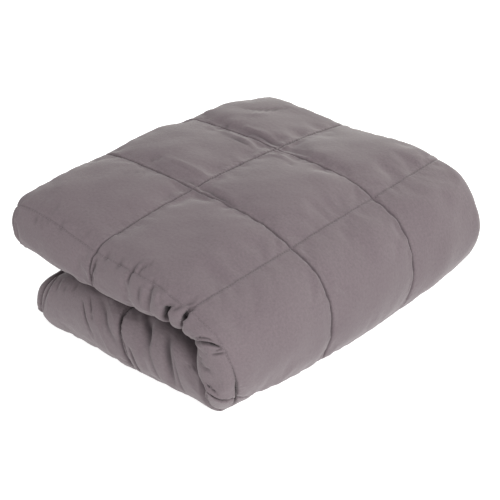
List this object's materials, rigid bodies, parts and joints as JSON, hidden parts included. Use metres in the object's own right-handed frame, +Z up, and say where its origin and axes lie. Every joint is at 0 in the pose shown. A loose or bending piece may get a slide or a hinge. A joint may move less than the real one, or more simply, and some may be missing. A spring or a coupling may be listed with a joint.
{
  "type": "folded weighted blanket",
  "caption": "Quilted filled blanket in a plain fabric, folded in half lengthwise and then across, lying as a soft stack with a rounded fold at the side",
  "frame": {"origin": "middle of the bounding box on the surface that the folded blanket lies on", "axes": "+Z up; +X towards the spine where the strip is folded across; -Y towards the rounded lengthwise fold; +Y towards the open hemmed edges"},
  "size_m": [0.3888, 0.4686, 0.1624],
  "materials": {
    "quilted_cloth": "matte with a soft sheen"
  },
  "bodies": {
    "root": {"blanket": "quilted_cloth"}
  },
  "joints": []
}
